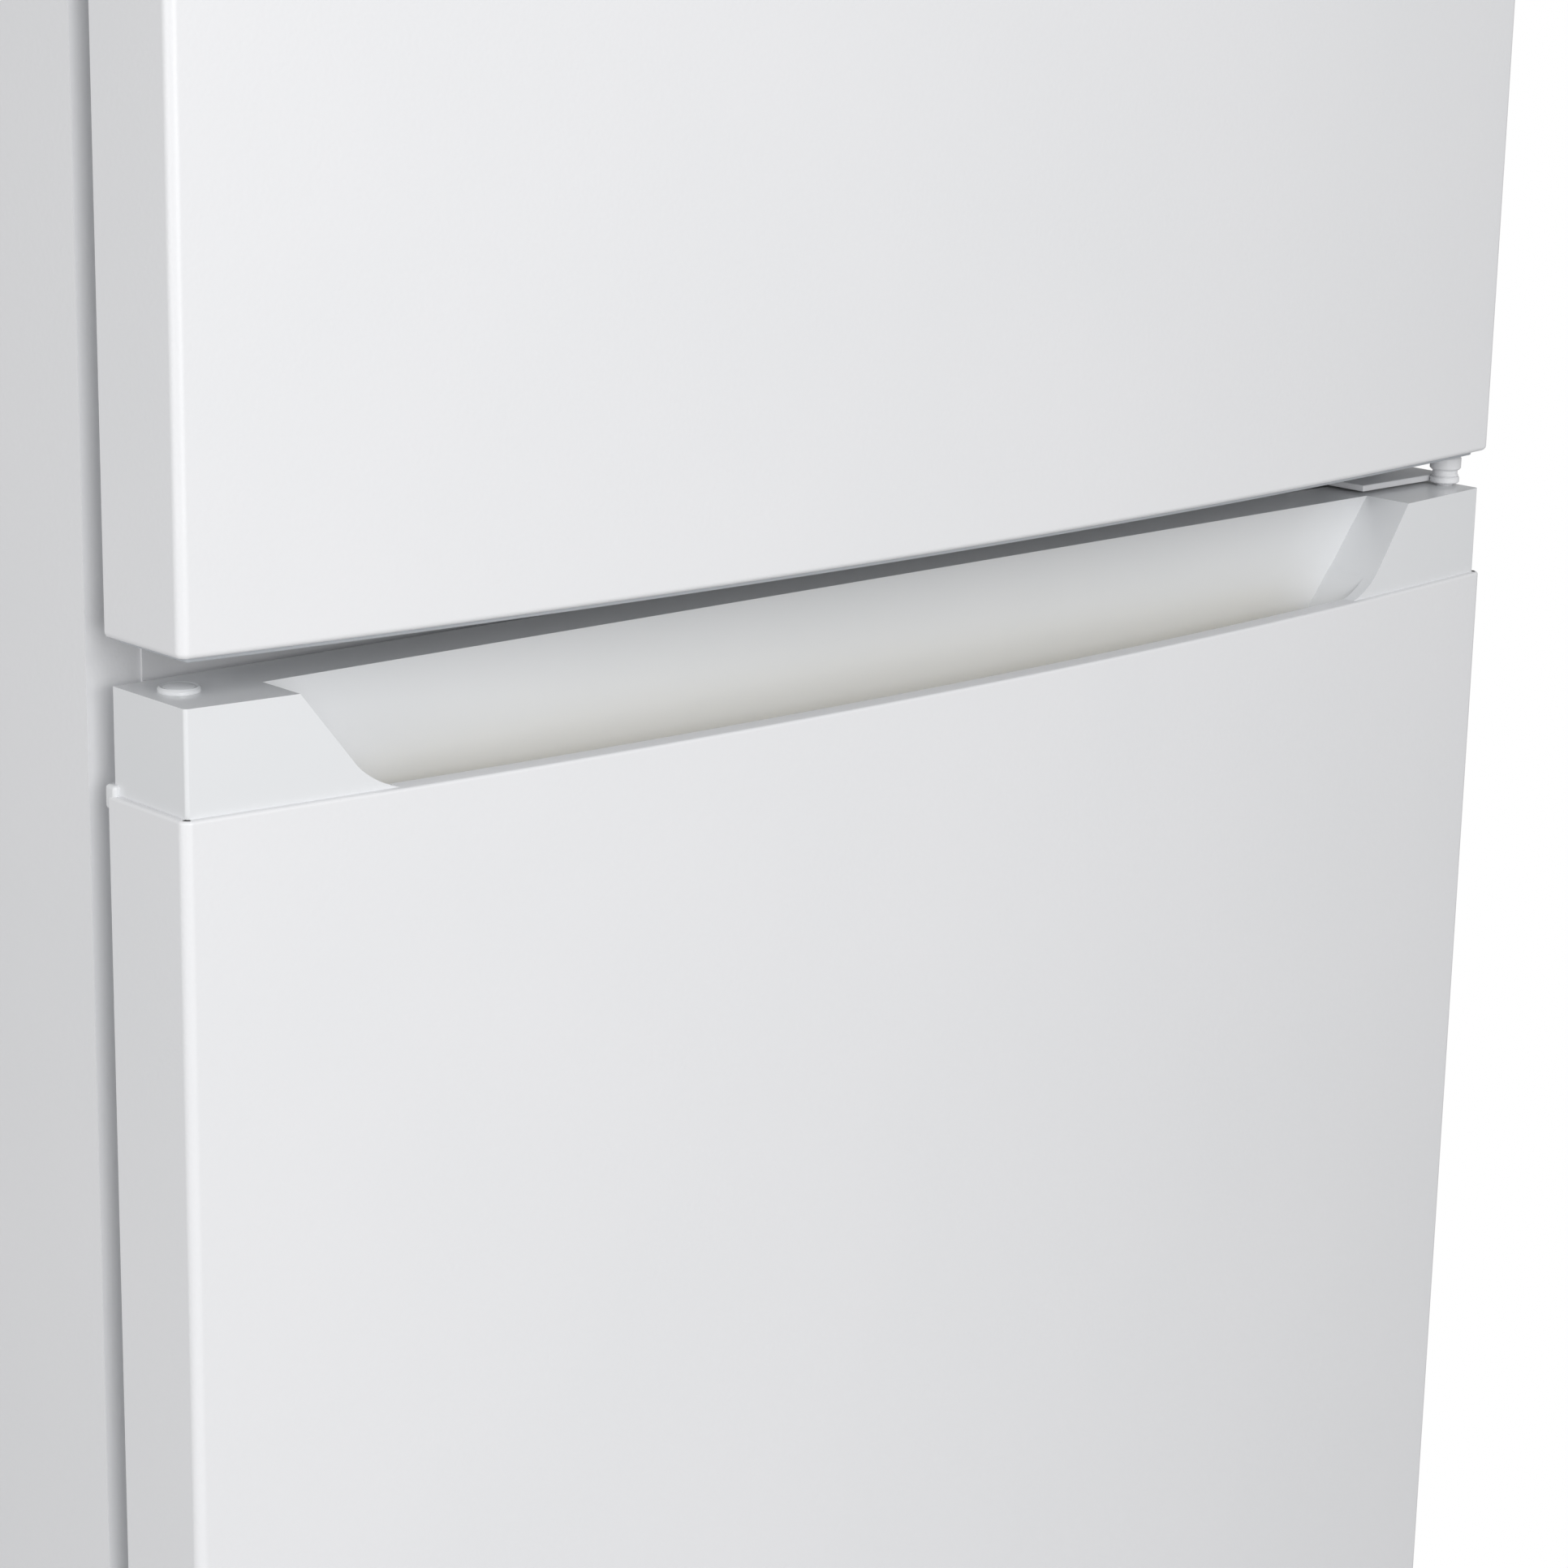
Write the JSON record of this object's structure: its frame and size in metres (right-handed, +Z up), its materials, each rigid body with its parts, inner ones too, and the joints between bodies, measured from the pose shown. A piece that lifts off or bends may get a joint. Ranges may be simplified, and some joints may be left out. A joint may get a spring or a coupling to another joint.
{
  "type": "top freezer refrigerator",
  "caption": "Free-standing white refrigerator with a freezer compartment on top, bowed steel doors hinged on the right and a pocket handle moulded into the lower door's top edge.",
  "frame": {"origin": "on the floor, at the middle of the overall box", "axes": "+Z up, the doors face -Y, +X to the right seen from the front"},
  "size_m": [0.75, 0.77, 1.68],
  "materials": {
    "painted_steel": "satin",
    "galvanised_steel": "satin",
    "zinc_steel": "satin",
    "gloss_white_plastic": "gloss",
    "white_plastic": "matte",
    "liner_plastic": "satin",
    "grey_plastic": "satin",
    "gasket_vinyl": "matte",
    "foam": "matte",
    "clear_plastic": "gloss",
    "black_steel": "satin",
    "black_plastic": "matte",
    "aluminium": "satin",
    "copper_tube": "satin",
    "roller_plastic": "matte",
    "glass_tube": "gloss",
    "frosted_plastic": "satin"
  },
  "bodies": {
    "cabinet": {"cabinet_shell": "painted_steel", "rear_panel": "galvanised_steel", "cabinet_foam": "foam", "freezer_liner": "liner_plastic", "fridge_liner": "liner_plastic", "center_rail": "painted_steel", "base_pan": "galvanised_steel", "kick_plate": "white_plastic", "roller_brackets": "galvanised_steel", "compressor": "black_steel", "start_relay_cover": "black_plastic", "drain_pan": "black_plastic", "refrigerant_lines": "copper_tube", "condenser": "black_steel", "evaporator_cover": "liner_plastic", "evaporator": "aluminium", "defrost_heater": "glass_tube", "fan_motor": "black_plastic", "control_console": "white_plastic", "lamp_lens": "frosted_plastic", "air_duct": "white_plastic", "top_hinge": "zinc_steel", "top_hinge_cover": "white_plastic", "middle_hinge": "painted_steel", "bottom_hinge": "zinc_steel", "hinge_screws": "zinc_steel", "cord_gland": "black_plastic", "freezer_shelf": "clear_plastic", "upper_shelf": "clear_plastic", "lower_shelf": "clear_plastic", "crisper_cover": "clear_plastic"},
    "freezer_door": {"freezer_door_skin": "painted_steel", "freezer_door_foam": "foam", "freezer_door_liner": "liner_plastic", "freezer_door_gasket": "gasket_vinyl", "freezer_door_top_cap": "grey_plastic", "freezer_door_bottom_cap": "grey_plastic"},
    "fridge_door": {"fridge_door_skin": "painted_steel", "fridge_door_foam": "foam", "fridge_door_liner": "liner_plastic", "fridge_door_gasket": "gasket_vinyl", "handle_cap": "gloss_white_plastic", "fridge_door_bottom_cap": "grey_plastic", "hinge_hole_plug": "gloss_white_plastic"},
    "left_foot_body": {"left_foot": "black_plastic"},
    "right_foot_body": {"right_foot": "black_plastic"},
    "left_roller_body": {"left_roller": "roller_plastic"},
    "right_roller_body": {"right_roller": "roller_plastic"},
    "fan_blade_body": {"fan_blade": "black_plastic"},
    "control_knob_body": {"control_knob": "white_plastic"},
    "door_switch_body": {"door_switch": "white_plastic"},
    "left_crisper_body": {"left_crisper": "clear_plastic"},
    "right_crisper_body": {"right_crisper": "clear_plastic"},
    "humidity_slider_body": {"humidity_slider": "white_plastic"},
    "freezer_upper_bin_body": {"freezer_upper_bin": "clear_plastic"},
    "freezer_lower_bin_body": {"freezer_lower_bin": "clear_plastic"},
    "dairy_bin_body": {"dairy_bin": "clear_plastic"},
    "dairy_lid_body": {"dairy_lid": "clear_plastic"},
    "middle_bin_body": {"middle_bin": "clear_plastic"},
    "bottom_bin_body": {"bottom_bin": "clear_plastic"}
  },
  "joints": [
    {"name": "freezer_door_hinge", "type": "hinge", "parent": "cabinet", "child": "freezer_door", "pos_m": [0.366, -0.3445, 1.4], "axis": [0, 0, 1], "range_deg": [0, 125]},
    {"name": "fridge_door_hinge", "type": "hinge", "parent": "cabinet", "child": "fridge_door", "pos_m": [0.366, -0.3445, 0.6], "axis": [0, 0, 1], "range_deg": [0, 125]},
    {"name": "left_crisper_slide", "type": "slide", "parent": "cabinet", "child": "left_crisper_body", "axis": [0, -1, 0], "range_m": [0, 0.23]},
    {"name": "right_crisper_slide", "type": "slide", "parent": "cabinet", "child": "right_crisper_body", "axis": [0, -1, 0], "range_m": [0, 0.23]},
    {"name": "door_switch_press", "type": "slide", "parent": "cabinet", "child": "door_switch_body", "axis": [0, -1, 0], "range_m": [0, 0.006]},
    {"name": "humidity_slide", "type": "slide", "parent": "cabinet", "child": "humidity_slider_body", "axis": [1, 0, 0], "range_m": [-0.019, 0.019]},
    {"name": "control_knob_turn", "type": "hinge", "parent": "cabinet", "child": "control_knob_body", "pos_m": [-0.1, -0.2, 1.06], "axis": [0, 0, -1], "range_deg": [0, 270]},
    {"name": "fan_spin", "type": "hinge", "parent": "cabinet", "child": "fan_blade_body", "pos_m": [0, 0.2185, 1.49], "axis": [0, 1, 0], "continuous": true},
    {"name": "left_roller_spin", "type": "hinge", "parent": "cabinet", "child": "left_roller_body", "pos_m": [-0.345, 0.3, 0.017], "axis": [1, 0, 0], "continuous": true},
    {"name": "right_roller_spin", "type": "hinge", "parent": "cabinet", "child": "right_roller_body", "pos_m": [0.345, 0.3, 0.017], "axis": [1, 0, 0], "continuous": true},
    {"name": "left_foot_screw", "type": "slide", "parent": "cabinet", "child": "left_foot_body", "axis": [0, 0, -1], "range_m": [0, 0.012]},
    {"name": "right_foot_screw", "type": "slide", "parent": "cabinet", "child": "right_foot_body", "axis": [0, 0, -1], "range_m": [0, 0.012]},
    {"name": "dairy_lid_hinge", "type": "hinge", "parent": "dairy_bin_body", "child": "dairy_lid_body", "pos_m": [0, -0.3, 0.892], "axis": [1, 0, 0], "range_deg": [0, 70]},
    {"name": "freezer_upper_bin_lift", "type": "slide", "parent": "freezer_door", "child": "freezer_upper_bin_body", "axis": [0, 0, 1], "range_m": [0, 0.04]},
    {"name": "freezer_lower_bin_lift", "type": "slide", "parent": "freezer_door", "child": "freezer_lower_bin_body", "axis": [0, 0, 1], "range_m": [0, 0.04]},
    {"name": "dairy_bin_lift", "type": "slide", "parent": "fridge_door", "child": "dairy_bin_body", "axis": [0, 0, 1], "range_m": [0, 0.04]},
    {"name": "middle_bin_lift", "type": "slide", "parent": "fridge_door", "child": "middle_bin_body", "axis": [0, 0, 1], "range_m": [0, 0.04]},
    {"name": "bottom_bin_lift", "type": "slide", "parent": "fridge_door", "child": "bottom_bin_body", "axis": [0, 0, 1], "range_m": [0, 0.04]}
  ],
  "couplings": [
    {"joint": "left_crisper_slide", "follows": "fridge_door_hinge", "m_per_rad": 0.10538},
    {"joint": "right_crisper_slide", "follows": "fridge_door_hinge", "m_per_rad": 0.10538},
    {"joint": "door_switch_press", "follows": "fridge_door_hinge", "m_per_rad": 0.002746}
  ]
}
